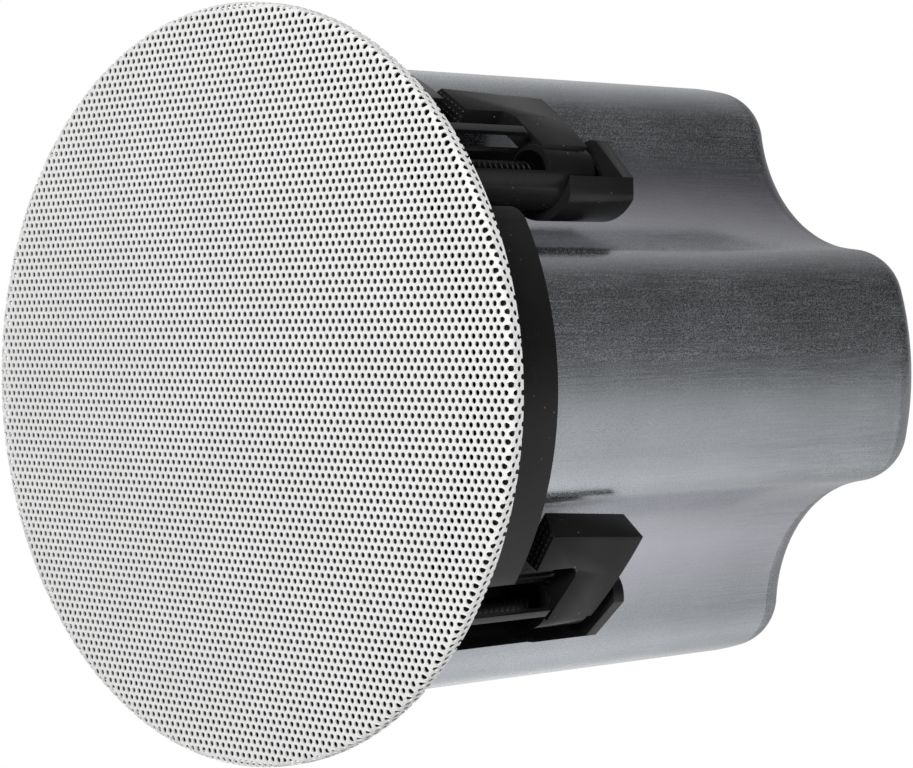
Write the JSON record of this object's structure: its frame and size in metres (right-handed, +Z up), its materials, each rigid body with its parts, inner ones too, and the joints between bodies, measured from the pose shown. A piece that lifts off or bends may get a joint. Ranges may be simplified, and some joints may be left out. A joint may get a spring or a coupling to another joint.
{
  "type": "ceiling speaker",
  "caption": "Flush ceiling loudspeaker: round crowned perforated grille, lobed metal back can and swing-out screw clamps that grip the ceiling board behind the flange.",
  "frame": {"origin": "centre of the ceiling seat, in the plane of the flange's back face", "axes": "+Z up into the ceiling void along the axis, grille towards -Z, +X through the middle of a can lobe"},
  "size_m": [0.2654, 0.2654, 0.2734],
  "materials": {
    "white_grille": "satin powder coat",
    "scrim": "matt",
    "magnet_plating": "plated",
    "baffle_black": "fine satin",
    "clamp_black": "semi-gloss",
    "foam": "matt foam",
    "can_metal": "drawn, fine axial brushing",
    "screw_steel": "black oxide",
    "nut_steel": "black oxide",
    "basket_black": "satin",
    "surround_rubber": "matt",
    "cone_grey": "satin",
    "copper": "enamelled wire",
    "spider_cloth": "resin cloth",
    "plate_steel": "zinc plated",
    "ferrite": "matt",
    "dome_cloth": "coated cloth",
    "board_green": "satin",
    "capacitor_sleeve": "gloss",
    "core_steel": "laminated",
    "bobbin_yellow": "taped winding",
    "terminal_green": "satin",
    "wadding": "matt",
    "knob_white": "satin"
  },
  "bodies": {
    "housing": {"grille_magnets": "magnet_plating", "baffle": "baffle_black", "can_gasket": "foam", "back_can": "can_metal", "can_screws": "screw_steel", "woofer_basket": "basket_black", "woofer_gasket": "foam", "woofer_screws": "screw_steel", "surround": "surround_rubber", "spider": "spider_cloth", "top_plate": "plate_steel", "woofer_magnet": "ferrite", "yoke": "plate_steel", "tweeter_post": "plate_steel", "tweeter_housing": "basket_black", "tweeter_dome": "dome_cloth", "tweeter_magnet": "ferrite", "crossover_board": "board_green", "inductor": "copper", "capacitors": "capacitor_sleeve", "transformer_bracket": "plate_steel", "transformer_core": "core_steel", "transformer_bobbin": "bobbin_yellow", "terminal_cup": "baffle_black", "terminal_block": "terminal_green", "safety_eye": "plate_steel", "damping_pad": "wadding", "tap_switch": "basket_black"},
    "grille": {"grille": "white_grille", "grille_edge": "white_grille", "grille_cloth": "scrim"},
    "cone": {"cone": "cone_grey", "dust_ring": "scrim", "voice_coil": "copper"},
    "knob": {"tap_knob": "knob_white"},
    "screw_1": {"clamp_screw_1": "screw_steel"},
    "nut_1": {"clamp_nut_1": "nut_steel"},
    "wing_1": {"clamp_wing_1": "clamp_black"},
    "screw_2": {"clamp_screw_2": "screw_steel"},
    "nut_2": {"clamp_nut_2": "nut_steel"},
    "wing_2": {"clamp_wing_2": "clamp_black"},
    "screw_3": {"clamp_screw_3": "screw_steel"},
    "nut_3": {"clamp_nut_3": "nut_steel"},
    "wing_3": {"clamp_wing_3": "clamp_black"},
    "screw_4": {"clamp_screw_4": "screw_steel"},
    "nut_4": {"clamp_nut_4": "nut_steel"},
    "wing_4": {"clamp_wing_4": "clamp_black"}
  },
  "joints": [
    {"name": "grille_pull", "type": "slide", "parent": "housing", "child": "grille", "axis": [0, 0, -1], "range_m": [0, 0.06]},
    {"name": "cone_travel", "type": "slide", "parent": "housing", "child": "cone", "axis": [0, 0, 1], "range_m": [-0.004, 0.004], "stiffness_N_per_m": 1250, "deforming": ["surround", "spider"]},
    {"name": "tap_turn", "type": "hinge", "parent": "housing", "child": "knob", "pos_m": [0, 0.097, 0], "axis": [0, 0, 1], "range_deg": [0, 150]},
    {"name": "screw_turn_1", "type": "hinge", "parent": "housing", "child": "screw_1", "pos_m": [0.07086, 0.0787, 0], "axis": [0, 0, 1], "range_deg": [0, 4950]},
    {"name": "nut_travel_1", "type": "slide", "parent": "housing", "child": "nut_1", "axis": [0, 0, -1], "range_m": [0, 0.03781]},
    {"name": "wing_swing_1", "type": "hinge", "parent": "nut_1", "child": "wing_1", "pos_m": [0.07086, 0.0787, 0.0745], "axis": [0, 0, 1], "range_deg": [0, 90]},
    {"name": "screw_turn_2", "type": "hinge", "parent": "housing", "child": "screw_2", "pos_m": [-0.0787, 0.07086, 0], "axis": [0, 0, 1], "range_deg": [0, 4950]},
    {"name": "nut_travel_2", "type": "slide", "parent": "housing", "child": "nut_2", "axis": [0, 0, -1], "range_m": [0, 0.03781]},
    {"name": "wing_swing_2", "type": "hinge", "parent": "nut_2", "child": "wing_2", "pos_m": [-0.0787, 0.07086, 0.0745], "axis": [0, 0, 1], "range_deg": [0, 90]},
    {"name": "screw_turn_3", "type": "hinge", "parent": "housing", "child": "screw_3", "pos_m": [-0.07086, -0.0787, 0], "axis": [0, 0, 1], "range_deg": [0, 4950]},
    {"name": "nut_travel_3", "type": "slide", "parent": "housing", "child": "nut_3", "axis": [0, 0, -1], "range_m": [0, 0.03781]},
    {"name": "wing_swing_3", "type": "hinge", "parent": "nut_3", "child": "wing_3", "pos_m": [-0.07086, -0.0787, 0.0745], "axis": [0, 0, 1], "range_deg": [0, 90]},
    {"name": "screw_turn_4", "type": "hinge", "parent": "housing", "child": "screw_4", "pos_m": [0.0787, -0.07086, 0], "axis": [0, 0, 1], "range_deg": [0, 4950]},
    {"name": "nut_travel_4", "type": "slide", "parent": "housing", "child": "nut_4", "axis": [0, 0, -1], "range_m": [0, 0.03781]},
    {"name": "wing_swing_4", "type": "hinge", "parent": "nut_4", "child": "wing_4", "pos_m": [0.0787, -0.07086, 0.0745], "axis": [0, 0, 1], "range_deg": [0, 90]}
  ],
  "couplings": [
    {"joint": "screw_turn_1", "follows": "nut_travel_1", "rad_per_m": 2284.8},
    {"joint": "screw_turn_2", "follows": "nut_travel_2", "rad_per_m": 2284.8},
    {"joint": "screw_turn_3", "follows": "nut_travel_3", "rad_per_m": 2284.8},
    {"joint": "screw_turn_4", "follows": "nut_travel_4", "rad_per_m": 2284.8}
  ]
}
